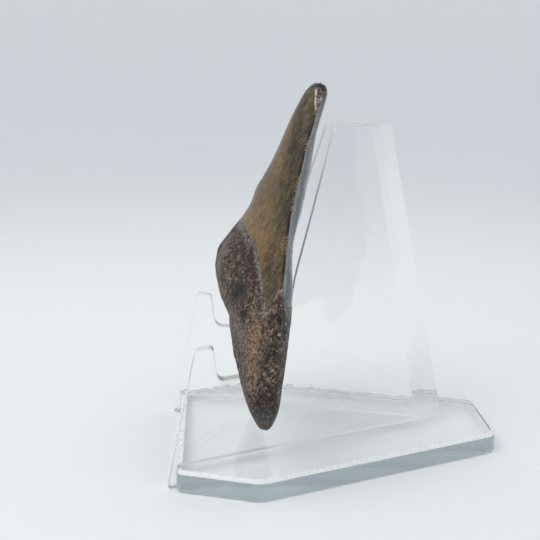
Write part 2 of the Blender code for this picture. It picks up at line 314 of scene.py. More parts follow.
# --------------------------------------------------------- the cutting edge
def serration_phase():
    """Uneven tooth spacing along the edge: tables of place and phase."""
    s = np.arange(0.0, TOTAL + 0.05, 0.05)
    p = np.stack([s, 0 * s, 0 * s], 1)
    pitch = 0.92 + 0.20 * soft_noise(p, 6.0, 71) + 0.10 * soft_noise(p, 1.7, 72)
    return s, np.cumsum(0.05 / pitch)


SER_S, SER_PHASE = serration_phase()


def serration(s, side):
    """0 on a serration's crest, 1 in the notch beside it, and its number."""
    ph = np.interp(s, SER_S, SER_PHASE) + np.where(side > 0, 0.0, 0.37)
    notch = 1 - np.abs(np.sin(np.pi * ph)) ** 0.9
    return notch, np.floor(ph)


def edge_wear(s, side):
    """How much of the serration is left, and larger nicks."""
    p = np.stack([s, 4.0 * side, 0 * s], 1)
    left = np.clip(0.80 + 0.45 * soft_noise(p, 5.0, 81), 0.25, 1.0)
    nick = np.zeros_like(s)
    for place_, width, depth, where in ((74.0, 1.0, 0.35, 1), (88.5, 0.8, 0.4, 1),
                                        (101.0, 1.1, 0.35, 1),
                                        (66.0, 1.3, 0.5, -1), (81.0, 0.9, 0.4, -1),
                                        (97.5, 1.2, 0.6, -1), (108.0, 1.4, 0.5, -1)):
        nick = nick + depth * bump(s, place_, width) * (side * where > 0)
    return left, nick


# ------------------------------------------------------------------- enamel
def build_enamel():
    n = 46
    c = np.linspace(0, 1, n + 1)
    half = 1 - (0.15 * c + 0.85 * c * c)
    us = np.unique(np.round(np.concatenate([
        half, -half, [.545, .549, .553, .5565, .560, .564, .568, .574,
                      .937, .942, .947, .951, .955, .959]]), 6))
    us = us[np.concatenate([[True], np.diff(us) > 0.0012])]
    us[0], us[-1] = -1.0, 1.0
    nu = len(us)
    rows = 400
    g = np.linspace(0, 1, rows + 1)

    grid = {}
    verts, loc, info = [], [], []
    for face in (-1, 1):
        sb = border(us, face)
        kernel = np.exp(-(np.subtract.outer(us, us) / 0.02) ** 2)
        even = kernel @ sb / kernel.sum(1)
        even[0], even[-1] = sb[0], sb[-1]
        for i in range(rows + 1):
            settle = max(0.0, 1 - i / 26.0) ** 2
            s = even + (TOTAL - even) * g[i] + (sb - even) * settle
            s = np.minimum(s, TOTAL)
            for j in range(nu):
                edge = j in (0, nu - 1)
                if edge and face > 0:
                    grid[i, j, 1] = grid[i, j, -1]
                    continue
                if i == rows:
                    if face < 0 and j == 0:
                        grid["tip"] = len(info)
                        info.append((TOTAL, 0.0, -1))
                    grid[i, j, face] = grid["tip"]
                    continue
                grid[i, j, face] = len(info)
                info.append((s[j], us[j], face))
    info = np.array(info)
    s, u, face = info.T
    side = np.sign(u)
    x = np.zeros(len(s)); h = np.zeros(len(s)); t = np.zeros(len(s))
    for fc in (-1, 1):
        m = face == fc
        x[m], h[m], t[m] = surface(s[m], u[m], fc)
    gap = edge_gap(s, u)
    # the tip is worn round, over a longer way on the front
    ridge = edge_depth(h) + edge_shift(h)
    below_top = np.maximum(108.8 - h, 0.0)
    cap = np.where(face < 0, np.clip(1 - below_top / 5.0, 0, 1),
                   np.clip(1 - below_top / 3.4, 0, 1))
    t = ridge + (t - ridge) * np.sqrt(np.maximum(0.0, 1 - cap ** 2.2))
    off = t - ridge                     # out from the cutting edge, back positive
    h = h + 0.88 * smooth(7.0, 1.0, below_top) - 0.50 * np.exp(-(below_top / 0.32) ** 2)

    quads = []
    for fc in (-1, 1):
        for i in range(rows):
            for j in range(nu - 1):
                q = [grid[i, j, fc], grid[i, j + 1, fc],
                     grid[i + 1, j + 1, fc], grid[i + 1, j, fc]]
                if fc > 0:
                    q.reverse()
                quads.append(q)
    quads = np.array(quads)
    tris = np.concatenate([quads[:, [0, 1, 2]], quads[:, [0, 2, 3]]])
    base = np.stack([x, h, t], 1)
    nrm = vertex_normals(base, tris)
    if (nrm[face < 0][:, 2].mean()) > 0:
        nrm = -nrm

    # cutting edge: notches between the serrations, running a little way in
    notch, number = serration(s, side)
    left, nick = edge_wear(s, side)
    sb_edge = border(np.array([1.0]), -1)[0]
    run = smooth(sb_edge + 0.5, sb_edge + 4.0, s) * smooth(TOTAL - 1.5, TOTAL - 4.0, s)
    cut = (0.36 * notch * left * np.exp(-(gap / 0.60) ** 2)
           + nick * np.exp(-(gap / 1.1) ** 2)) * run
    groove = 0.10 * notch * left * np.exp(-(gap / 0.95) ** 2) * run
    base[:, 0] -= side * cut

    # the worn tip: the cutting edge is chipped away on the last centimetre
    pts = np.stack([x, h, t], 1)
    wf = 0.30 + 1.25 * smooth(100.5, 106.5, h) + 0.28 * soft_noise(pts, 1.3, 51)
    wb = 0.25 + 1.90 * smooth(101.0, 106.5, h) + 0.28 * soft_noise(pts, 1.5, 53)
    worn = smooth(0.15, -0.15, -off - wf) * smooth(0.15, -0.15, off - wb) \
        * smooth(100.0, 101.4, h + 0.7 * soft_noise(pts, 2.2, 52)) \
        * smooth(2.9, 2.1, gap)
    worn = worn * np.where(side > 0, 1.0, 0.75 * smooth(101, 104, h))
    d1, id1 = cells(pts, 1.25, 61)
    chips = worn * (0.08 + 0.26 * np.clip(1 - d1 * 1.25, 0, 1)
                    + 0.12 * soft_noise(pts, 0.8, 62)) * smooth(108.9, 106.5, h)

    dents = 0.05 * (1 + fractal(pts, 9.0, 2, 63)) \
        + 0.03 * (1 + soft_noise(pts * np.array([1, .25, 1]), 2.6, 64))
    # a few shallow spalls beside the cutting edge and low on the front
    spall, tag = cells(pts * np.array([1, .7, 1]), 7.5, 65)
    spalls = 0.16 * smooth(0.26, 0.16, spall) * (tag > 0.62) * (face < 0) \
        * smooth(0.4, 1.2, gap)
    inward = 0.01 + dents * smooth(0, 1.5, gap) + groove + np.maximum(chips, 0) \
        + spalls
    base -= nrm * inward[:, None]
    # the very top is rubbed blunt
    up = base[:, 1] * math.cos(TILT) - base[:, 2] * math.sin(TILT)
    base[:, 1] -= 0.85 * np.maximum(0.0, up - (up.max() - 0.45))

    # the broken rim under the enamel's lower border
    ring = {}
    extra, extra_info = [], []
    count = len(info)
    for fc in (-1, 1):
        for j in range(nu):
            a = grid[0, j, fc]
            if j in (0, nu - 1):
                ring[j, fc] = a
                continue
            u_ = np.array([us[j]]); s_ = np.array([info[a, 0]])
            thick = (surface(s_, u_, 1)[2] - surface(s_, u_, -1)[2])[0]
            depth = min(0.95, 0.35 * thick)
            extra.append(base[a] - nrm[a] * depth - np.array([0, 0.12, 0]))
            extra_info.append(a)
            ring[j, fc] = count
            count += 1
    base = np.concatenate([base, np.array(extra)])
    src = np.concatenate([np.arange(len(info)), np.array(extra_info)])
    more = []
    for fc in (-1, 1):
        for j in range(nu - 1):
            q = [grid[0, j, fc], ring[j, fc], ring[j + 1, fc], grid[0, j + 1, fc]]
            if fc > 0:
                q.reverse()
            more.append(q)
    for j in range(nu - 1):        # lid across the inside, hidden in the root
        more.append([ring[j, -1], ring[j, 1], ring[j + 1, 1], ring[j + 1, -1]])
    quads = np.concatenate([quads, np.array(more)])

    world = to_world(base[:, 0], base[:, 1], base[:, 2])
    ob = make_mesh("tooth_enamel", world, quads)

    # masks for the material
    S, G, F = s[src], gap[src], face[src]
    L = base
    sb = np.where(F < 0, border(u[src], -1), border(u[src], 1))
    above = S - sb
    rim = np.zeros(len(src)); rim[len(info):] = 1.0
    h_, x_ = L[:, 1], np.abs(L[:, 0])
    warp = 2.0 * fractal(L, 8.0, 3, 90)
    edgeband = smooth(9.5, 3.0, G + 0.9 * warp) * (1 - 0.55 * smooth(93, 101, h_)) * (0.45 + 0.55 * smooth(60, 68, h_ + warp)
                                                   + 0.35 * smooth(60, 52, h_))
    gold = smooth(66, 57, h_ + 1.2 * warp) * smooth(1.5, 6.5, G + 0.6 * warp)
    gold = np.maximum(gold, 0.55 * smooth(4.5, 0.5, above + 0.4 * warp))
    mauve = bump(h_, 76, 9) * smooth(4.5, 9.0, G + warp)
    khaki = smooth(84, 92, h_ + warp)
    warm = bump(h_, 93.5, 4.5) * smooth(4.0, 7.0, G + 0.5 * warp)
    notch_, number_ = serration(S, np.sign(L[:, 0]))
    O = off[src]
    bead_line = 0.27 + 0.12 * soft_noise(L, 1.1, 91)
    serr = smooth(bead_line + 0.12, bead_line - 0.08, np.abs(O - 0.05)) \
        * smooth(0.2, 1.5, S - border(np.array([1.0]), -1)[0])
    run_of = np.stack([S, 9.0 * np.sign(L[:, 0]), 0 * S], 1)
    crest = (1 - notch_[:]) * (0.25 + 0.75 * hashed(
        number_.astype(np.int64), (np.sign(L[:, 0]) + 2).astype(np.int64),
        np.zeros(len(L), np.int64), 92)) * (0.45 + 0.75 * smooth(
            -0.35, 0.35, soft_noise(run_of, 4.0, 93)))
    tipdark = smooth(106.9, 108.0, h_ + 0.5 * soft_noise(L, 1.4, 94))
    strip = O + wf[src]
    cream = smooth(0.85, 0.45, strip + 0.25 * soft_noise(L, 0.8, 95))
    cream = np.maximum(cream, np.exp(-((O - 1.0) / 0.45) ** 2 - ((h_ - 104.8) / 0.7) ** 2))
    # lip_highlight: a painted highlight, a light band on the back face just in from the cutting edge
    lip_highlight = smooth(0.20, 0.50, O) * smooth(1.55, 0.95, O + 0.2 * soft_noise(
        L * np.array([1, .2, 1]), 1.0, 96))
    worn_ = worn[src]
    nick_ = nick[src] * run[src] * np.exp(-(G / 1.0) ** 2) / 0.6
    place(ob, "tooth_mm", L)
    paint(ob, "zone_a", np.stack([gold, mauve, khaki], 1))
    paint(ob, "zone_b", np.stack([edgeband, serr, crest], 1))
    paint(ob, "zone_c", np.stack([worn_, (F > 0) * 1.0, rim], 1))
    paint(ob, "zone_d", np.stack([warm, smooth(1.1, 0.1, above),
                                  np.maximum(nick_, spalls[src] / 0.16)], 1))
    paint(ob, "zone_e", np.stack([tipdark, cream, lip_highlight], 1))
    return ob


# --------------------------------------------------------------------- root
def build_root():
    cols, rows = 230, 150
    top = 64.5
    us = np.sin(np.linspace(-0.5, 0.5, cols + 1) * math.pi)
    f = np.linspace(0, 1, rows + 1)
    ss = top * (0.42 * f + 0.58 * (1 - np.cos(f * math.pi / 2)))
    sb = {fc: border(us, fc) for fc in (-1, 1)}

    grid, info = {}, []
    for fc in (-1, 1):
        for i, s in enumerate(ss):
            for j, u in enumerate(us):
                if fc > 0 and (i == 0 or j in (0, cols)):
                    grid[i, j, 1] = grid[i, j, -1]
                    continue
                grid[i, j, fc] = len(info)
                info.append((s, u, fc, s - sb[fc][j]))
    info = np.array(info)
    s, u, face, above = info.T
    x = np.zeros(len(s)); h = np.zeros(len(s)); t = np.zeros(len(s))
    slim = np.zeros((len(s), 3))
    for fc in (-1, 1):
        m = face == fc
        x[m], h[m], t[m] = surface(s[m], u[m], fc)
        k = 1 - 1.6 / np.maximum(edge_x(s[m]), 3)
        a, b, c = surface(s[m], u[m] * k, fc, slim=0.86)
        slim[m] = np.stack([a, b, c], 1)
    quads = []
    for fc in (-1, 1):
        for i in range(rows):
            for j in range(cols):
                q = [grid[i, j, fc], grid[i, j + 1, fc],
                     grid[i + 1, j + 1, fc], grid[i + 1, j, fc]]
                if fc > 0:
                    q.reverse()
                quads.append(q)
    for j in range(cols):
        quads.append([grid[rows, j, -1], grid[rows, j + 1, -1],
                      grid[rows, j + 1, 1], grid[rows, j, 1]])
    quads = np.array(quads)
    tris = np.concatenate([quads[:, [0, 1, 2]], quads[:, [0, 2, 3]]])
    base = np.stack([x, h, t], 1)
    nrm = vertex_normals(base, tris)
    if nrm[face < 0][:, 2].mean() > 0:
        nrm = -nrm
    P = base.copy()
    ax = np.abs(x)

    smoothend = smooth(21.0, 8.0, h + 4.5 * fractal(P, 6.0, 3, 11)
                       + 3.0 * smooth(38.5, 41.0, ax)) * smooth(22, 30, ax)
    # rough weathered bone: broad hollows, grains, pores, and fine ridges
    broad = 0.5 + 0.5 * fractal(P, 9.0, 2, 12)
    grain = 0.5 + 0.5 * fractal(P, 1.9, 2, 13)
    d1, id1 = cells(P, 1.9, 14)
    pores = smooth(0.40, 0.12, d1) * (id1 > 0.45)
    d2, id2 = cells(P * np.array([1, .45, 1]), 4.2, 15)
    pits = smooth(0.34, 0.10, d2) * (id2 > 0.66)
    ridged = 0.5 + 0.5 * soft_noise(P * np.array([1, .16, 1]), 1.7, 16)
    rough = 1 - 0.75 * smoothend
    lobe = smooth(40, 22, h)
    inward = (0.03 + 0.34 * broad
              + rough * (0.22 * grain + 0.26 * pores + 0.48 * pits)
              + 0.14 * ridged * lobe * rough)
    # hollow along the enamel's border, with the thin band of dentine below it
    near = np.exp(-(np.minimum(above, 0) / 1.6) ** 2)
    inward = inward * (1 - 0.45 * near) + 0.16 * near
    # the small feeding hole in the middle of the front bulge, and two by it
    hole = np.zeros(len(s))
    for hx, hh, r, dep in ((0.6, 45.5, 1.15, 1.9), (-5.2, 41.0, 0.7, 0.9),
                           (7.5, 40.2, 0.6, 0.8), (-1.8, 50.5, 0.5, 0.6)):
        rr = np.hypot(x - hx, h - hh) / r
        hole = np.maximum(hole, dep * smooth(1.25, 0.35, rr) * (face < 0))
    # old scars: a scratch low on each lobe and chips on its end
    scar = np.zeros(len(s))
    for ax0, h0, ang, ln, wd, dep, sd in (
            (40.4, 14.4, 0.55, 2.6, 0.28, 0.45, 1), (37.0, 22.0, 1.3, 3.2, 0.3, 0.3, -1),
            (30.0, 27.0, 1.2, 4.0, 0.3, 0.3, 1), (12.0, 46.0, 0.9, 3.4, 0.3, 0.35, -1)):
        a = x * sd - ax0
        b = h - h0
        along = a * math.cos(ang) + b * math.sin(ang)
        off = -a * math.sin(ang) + b * math.cos(ang)
        scar = np.maximum(scar, dep * np.exp(-(off / wd) ** 2)
                          * smooth(ln, ln * 0.6, np.abs(along)))
    inward = inward - 0.24 + hole + scar
    under = smooth(-0.05, 0.25, above)
    inward = inward * (1 - under) + 0.55 * under
    # nothing crosses over where the root is thin at its side edge
    thick = np.zeros(len(s))
    for fc in (-1, 1):
        m = face == fc
        thick[m] = (surface(s[m], u[m], 1)[2] - surface(s[m], u[m], -1)[2])
    limit = np.where((np.abs(u) < 0.999) & (s > 0.01), 0.06 + 0.30 * thick, 0.6)
    inward = np.minimum(inward, limit)
    P = P - nrm * inward[:, None]
    sink = smooth(0.15, 2.0, above)[:, None]
    P = P * (1 - sink) + slim * sink

    world = to_world(P[:, 0], P[:, 1], P[:, 2])
    ob = make_mesh("tooth_root", world, quads)

    # masks for the material
    below = -above
    wn = fractal(P, 6.0, 3, 21)
    wn2 = fractal(P, 3.0, 3, 22)
    greyblue = smooth(3.6, 1.2, below + 1.6 * wn2) * smooth(-0.5, 0.1, below) \
        * (0.60 + 0.40 * smooth(60, 55, h))
    maroon = smooth(1.5, 3.0, below + 1.3 * wn2) * smooth(9.0, 4.5, below + 2.6 * wn) \
        * (0.70 + 0.30 * soft_noise(P, 4.0, 23)) * smooth(36, 44, h + 3 * wn)
    charcoal = smooth(0.22, 0.55, fractal(P * np.array([1, .8, 1]), 9.5, 2, 24)) * 0.5
    for cx, ch, rx, rh in ((26.3, 44.2, 4.0, 4.6), (33.5, 39.6, 2.0, 2.2),
                           (-22.0, 40.0, 4.0, 3.0)):
        charcoal = np.maximum(charcoal, (face < 0) * np.exp(
            -(((x - cx) / rx) ** 2 + ((h - ch) / rh) ** 2) ** 1.6))
    off = t - edge_depth(h)
    tan = bump(off + 1.2 * wn, -7.0, 2.4) * smooth(15, 20, h + 2 * wn) \
        * smooth(46, 40, h + 2 * wn) * smooth(28, 34, ax)
    shade = smooth(-5.2, -3.6, off + 1.4 * wn2) * smooth(38, 31, h + 2 * wn) * smooth(26, 31, ax)
    tan = np.maximum(tan, 0.45 * smooth(0.25, 0.6, fractal(P * np.array([1, .4, 1]), 5.5, 2, 25)))
    mauve = smooth(44, 34, h + 3 * wn) * smooth(37.5, 33, ax + 1.5 * wn)
    cream, cid = cells(P, 3.1, 26)
    flecks = 0.7 * smooth(0.17, 0.09, cream) * (cid > 0.78) * (1 - 0.7 * smoothend)
    margin = smooth(6.0, 1.0, np.abs(ax - 39.4)) * smooth(14, 20, h) * (cid > 0.40)
    flecks = np.maximum(flecks, smooth(0.20, 0.11, cream) * margin)
    # painted shade: darker where the surface is pushed further in, in pits, scars and the feeding hole
    depth = np.clip((inward - 0.21) / 0.55, 0, 1) * (1 - under)
    fringe = (face < 0) * smooth(17, 6, ax + 2.5 * wn) * smooth(30, 34, h)
    smoothedge = smooth(0.2, 0.8, face) * smooth(20, 30, h)
    place(ob, "tooth_mm", P)
    paint(ob, "zone_a", np.stack([maroon, charcoal, tan], 1))
    paint(ob, "zone_b", np.stack([greyblue, mauve, smoothend], 1))
    paint(ob, "zone_c", np.stack([depth, flecks, smoothedge], 1))
    paint(ob, "zone_d", np.stack([fringe, shade, fringe], 1))
    return ob


# ---------------------------------------------------------------- materials
def lin(code):
    out = []
    for k in (1, 3, 5):
        c = int(code[k:k + 2], 16) / 255
        out.append(c / 12.92 if c <= 0.04045 else ((c + 0.055) / 1.055) ** 2.4)
    return (*out, 1.0)


class Nodes:
    """Short calls for building a material's nodes."""

    def __init__(self, name, tint=(1, 1, 1)):
        self.tint = tint
        self.mat = bpy.data.materials.new(name)
        self.mat.use_nodes = True
        self.t = self.mat.node_tree
        self.bsdf = self.t.nodes["Principled BSDF"]
        self.out = self.t.nodes["Material Output"]

    def paint(self, c):
        if not isinstance(c, str):
            return c
        return tuple(a * b for a, b in zip(lin(c), (*self.tint, 1.0)))

    def put(self, socket, value):
        if isinstance(value, bpy.types.NodeSocket):
            self.t.links.new(value, socket)
        else:
            socket.default_value = value

    def math(self, op, a, b=0.0, c=None, clamp=False):
        n = self.t.nodes.new("ShaderNodeMath")
        n.operation = op
        n.use_clamp = clamp
        self.put(n.inputs[0], a)
        self.put(n.inputs[1], b)
        if c is not None:
            self.put(n.inputs[2], c)
        return n.outputs[0]

    def mul(self, a, b):
        return self.math("MULTIPLY", a, b)

    def add(self, a, b, clamp=False):
        return self.math("ADD", a, b, clamp=clamp)

    def mix(self, fac, a, b, kind="MIX"):
        n = self.t.nodes.new("ShaderNodeMix")
        n.data_type = "RGBA"
        n.blend_type = kind
        self.put(n.inputs["Factor"], fac)
        self.put(n.inputs["A"], self.paint(a))
        self.put(n.inputs["B"], self.paint(b))
        return n.outputs["Result"]

    def range(self, v, a, b, lo=0.0, hi=1.0, kind="SMOOTHSTEP"):
        n = self.t.nodes.new("ShaderNodeMapRange")
        n.interpolation_type = kind
        self.put(n.inputs["Value"], v)
        for key, val in (("From Min", a), ("From Max", b), ("To Min", lo), ("To Max", hi)):
            n.inputs[key].default_value = val
        return n.outputs["Result"]

    def zone(self, name):
        n = self.t.nodes.new("ShaderNodeAttribute")
        n.attribute_name = name
        sep = self.t.nodes.new("ShaderNodeSeparateColor")
        self.t.links.new(n.outputs["Color"], sep.inputs[0])
        return sep.outputs[0], sep.outputs[1], sep.outputs[2]

    def coords(self, scale=(1, 1, 1), name="tooth_mm", shift=(0, 0, 0)):
        if name:
            n = self.t.nodes.new("ShaderNodeAttribute")
            n.attribute_name = name
            src = n.outputs["Vector"]
        else:
            n = self.t.nodes.new("ShaderNodeTexCoord")
            src = n.outputs["Object"]
        m = self.t.nodes.new("ShaderNodeMapping")
        m.inputs["Scale"].default_value = scale
        m.inputs["Location"].default_value = shift
        self.t.links.new(src, m.inputs["Vector"])
        return m.outputs["Vector"]

    def noise(self, vec, scale, detail=2.0, rough=0.5, warp=0.0):
        n = self.t.nodes.new("ShaderNodeTexNoise")
        self.put(n.inputs["Vector"], vec)
        n.inputs["Scale"].default_value = scale
        n.inputs["Detail"].default_value = detail
        n.inputs["Roughness"].default_value = rough
        n.inputs["Distortion"].default_value = warp
        return n.outputs["Fac"]

    def voronoi(self, vec, scale, feature="F1", rand=1.0):
        n = self.t.nodes.new("ShaderNodeTexVoronoi")
        n.feature = feature
        self.put(n.inputs["Vector"], vec)
        n.inputs["Scale"].default_value = scale
        n.inputs["Randomness"].default_value = rand
        return n

    def warped(self, vec, scale, amount):
        """The coordinates, pushed about by a noise."""
        n = self.t.nodes.new("ShaderNodeTexNoise")
        self.put(n.inputs["Vector"], vec)
        n.inputs["Scale"].default_value = scale
        n.inputs["Detail"].default_value = 2.0
        out = vec
        for op, src, val in (("SUBTRACT", n.outputs["Color"], (0.5, 0.5, 0.5)),
                             ("MULTIPLY", None, (amount,) * 3), ("ADD", None, vec)):
            k = self.t.nodes.new("ShaderNodeVectorMath")
            k.operation = op
            self.put(k.inputs[0], src if src is not None else out)
            self.put(k.inputs[1], val)
            out = k.outputs["Vector"]
        return out

    def grains(self, vec, scale):
        """A random number for each grain of about 1/scale."""
        n = self.voronoi(vec, scale)
        sep = self.t.nodes.new("ShaderNodeSeparateColor")
        self.t.links.new(n.outputs["Color"], sep.inputs[0])
        return sep.outputs[0]

    def bump(self, height, distance, strength=1.0, normal=None):
        n = self.t.nodes.new("ShaderNodeBump")
        n.inputs["Distance"].default_value = distance
        n.inputs["Strength"].default_value = strength
        self.put(n.inputs["Height"], height)
        if normal is not None:
            self.put(n.inputs["Normal"], normal)
        return n.outputs["Normal"]


def enamel_material():
    m = Nodes("fossil_enamel", (0.86, 0.76, 0.56))
    v = m.coords()
    gold, mauve, khaki = m.zone("zone_a")
    edgeband, serr, crest = m.zone("zone_b")
    worn, back, rim = m.zone("zone_c")
    warm, foot, nick = m.zone("zone_d")
    tipdark, cream, lip_highlight = m.zone("zone_e")
    blotch = m.noise(v, 0.13, 3, 0.55, 0.6)
    cloud = m.noise(v, 0.42, 4, 0.6, 0.3)
    long_ = m.coords((1.1, 0.13, 1.1))
    streak = m.noise(long_, 1.0, 4, 0.6, 0.4)
    fine_long = m.coords((3.4, 0.30, 3.4))
    fibre = m.noise(fine_long, 1.0, 3, 0.6)
    speck = m.noise(v, 2.6, 4, 0.7)

    col = m.mix(m.range(blotch, 0.38, 0.62), "#92775a", "#9b8360")
    col = m.mix(m.mul(khaki, 0.9), col, "#6a604a")
    col = m.mix(m.mul(mauve, m.range(streak, 0.35, 0.62, 0.55, 1.0)), col, "#64524a")
    col = m.mix(m.mul(warm, m.range(streak, 0.35, 0.6, 0.4, 0.95)), col, "#9c7655")
    col = m.mix(m.mul(gold, m.range(blotch, 0.3, 0.6, 0.55, 1.0)), col, "#856639")
    col = m.mix(m.mul(gold, m.mul(m.range(streak, 0.49, 0.57), 0.5)), col, "#a3834f")
    col = m.mix(m.mul(gold, m.mul(m.range(streak, 0.47, 0.39), 0.60)), col, "#5f4b30")
    mottle = m.noise(m.coords((1, .55, 1), shift=(5, 2, 1)), 0.75, 4, 0.62, 0.5)
    col = m.mix(m.mul(m.range(cloud, 0.50, 0.60), 0.42), col, "#877c5c")
    col = m.mix(m.mul(m.range(cloud, 0.48, 0.38), 0.55), col, "#4a3b30")
    col = m.mix(m.mul(m.range(mottle, 0.51, 0.61), 0.36), col, "#93805d")
    col = m.mix(m.mul(m.range(mottle, 0.48, 0.38), 0.42), col, "#473a2f")
    col = m.mix(m.mul(edgeband, 0.92), col, "#3a392d")
    dark = m.mul(edgeband, m.range(m.noise(m.coords((1, .6, 1)), 0.55, 3, 0.6), 0.47, 0.57))
    col = m.mix(m.mul(dark, 0.85), col, "#22211c")
    # light and dark streaks up the blade
    col = m.mix(m.mul(m.range(streak, 0.52, 0.66), 0.34), col, "#988260")
    col = m.mix(m.mul(m.range(streak, 0.47, 0.34), 0.42), col, "#41352c")
    col = m.mix(m.mul(m.range(fibre, 0.53, 0.66), 0.26), col, "#a08a68")
    col = m.mix(m.mul(m.range(fibre, 0.46, 0.34), 0.32), col, "#3d322a")
    col = m.mix(m.mul(m.range(speck, 0.56, 0.68), 0.25), col, "#a08e6c")

    # back face: blue-grey enamel, darker down the middle, with a painted highlight along the cutting edge
    warm_tint, m.tint = m.tint, (1, 1, 1)
    bk = m.mix(m.range(blotch, 0.42, 0.58), "#63686a", "#757a7b")
    bk = m.mix(m.mul(m.range(streak, 0.50, 0.72), 0.35), bk, "#969da0")
    bk = m.mix(m.mul(m.range(streak, 0.46, 0.28), 0.35), bk, "#4a4e52")
    bk = m.mix(m.mul(m.range(cloud, 0.55, 0.70), 0.4), bk, "#7b7870")
    bk = m.mix(m.mul(m.range(fibre, 0.42, 0.30), 0.3), bk, "#3d3e40")
    bk = m.mix(m.mul(khaki, 0.55), bk, "#4a4a48")
    # painted highlight: light blue-grey on the back face next to the cutting edge
    bk = m.mix(m.mul(lip_highlight, m.range(fibre, 0.35, 0.6, 0.5, 0.85)), bk, "#959c9e")
    m.tint = warm_tint
    col = m.mix(back, col, bk)

    # growth cracks: long thin wavering lines up the blade
    crack = None
    for k, (cs, place_) in enumerate((((0.30, 0.018, 0.30), 0.0), ((0.55, 0.05, 0.55), 7.0))):
        nz = m.noise(m.coords(cs, shift=(place_, 3.0, place_)), 1.0, 2, 0.4, 0.5)
        line = m.range(m.math("ABSOLUTE", m.math("SUBTRACT", nz, 0.5)), 0.0065, 0.0015)
        gate = m.range(m.noise(m.coords((0.09, 0.05, 0.09), shift=(place_, 1.0, 0)), 1.0, 2, 0.5),
                       0.50, 0.60)
        line = m.mul(line, gate)
        crack = line if crack is None else m.math("MAXIMUM", crack, line)
    col = m.mix(m.mul(crack, 0.6), col, "#2f2822")

    # enamel's lower border: pale broken rim, thin golden line above it
    col = m.mix(m.mul(m.mul(foot, m.range(speck, 0.35, 0.6, 0.2, 0.8)), 0.45), col, "#9a8358")
    col = m.mix(m.mul(rim, 0.8), col, "#5d5a50")
    # serrations: pale worn crests, dark dirt in the notches
    bead_dark = m.mix(m.range(speck, 0.4, 0.6), "#35221c", "#4f2c24")
    bead_pale = m.mix(m.range(m.noise(v, 0.8, 2, 0.6), 0.42, 0.60), "#a87c58", "#c9bca2")
    bead = m.mix(m.range(crest, 0.30, 0.62), bead_dark, bead_pale)
    col = m.mix(serr, col, bead)
    # chips and the worn tip: cream, rust and dark pits
    m.tint = (1, 1, 1)
    tipn = m.noise(v, 1.2, 3, 0.6, 0.4)
    tip = m.mix(m.range(tipn, 0.46, 0.58), "#4a2018", "#9a6c50")
    tip = m.mix(m.range(m.noise(v, 0.9, 2, 0.5), 0.53, 0.60), tip, "#9aa0a5")
    tip = m.mix(m.mul(cream, m.range(tipn, 0.38, 0.44)), tip, "#ddd5c6")
    tip = m.mix(m.range(tipn, 0.40, 0.35), tip, "#1d100d")
    col = m.mix(worn, col, tip)
    col = m.mix(m.mul(tipdark, 0.9), col, "#26282b")
    col = m.mix(m.mul(nick, 0.35), col, "#4a4034")

    m.put(m.bsdf.inputs["Base Color"], col)
    rough = m.range(cloud, 0.35, 0.7, 0.36, 0.50)
    rough = m.add(rough, m.mul(m.range(speck, 0.5, 0.75), 0.10))
    rough = m.add(rough, m.mul(back, -0.20))
    rough = m.add(rough, m.mul(m.add(serr, worn, clamp=True), 0.28))
    rough = m.add(rough, m.mul(rim, 0.3), clamp=True)
    m.put(m.bsdf.inputs["Roughness"], rough)
    m.bsdf.inputs["IOR"].default_value = 1.50
    m.bsdf.inputs["Specular IOR Level"].default_value = 0.36
    m.bsdf.inputs["Coat Weight"].default_value = 0.05
    m.bsdf.inputs["Coat Roughness"].default_value = 0.2

    height = m.add(m.mul(streak, 0.5), m.mul(fibre, 0.35))
    height = m.add(height, m.mul(speck, 0.16))
    height = m.add(height, m.mul(m.noise(v, 6.0, 2, 0.6), 0.06))
    n = m.bump(height, 0.00009)
    n = m.bump(m.math("SUBTRACT", 1.0, crack), 0.00016, 1.0, n)
    n = m.bump(m.mul(m.add(serr, worn, clamp=True), m.noise(v, 3.0, 3, 0.7)), 0.0003, 1.0, n)
    m.put(m.bsdf.inputs["Normal"], n)
    return m.mat


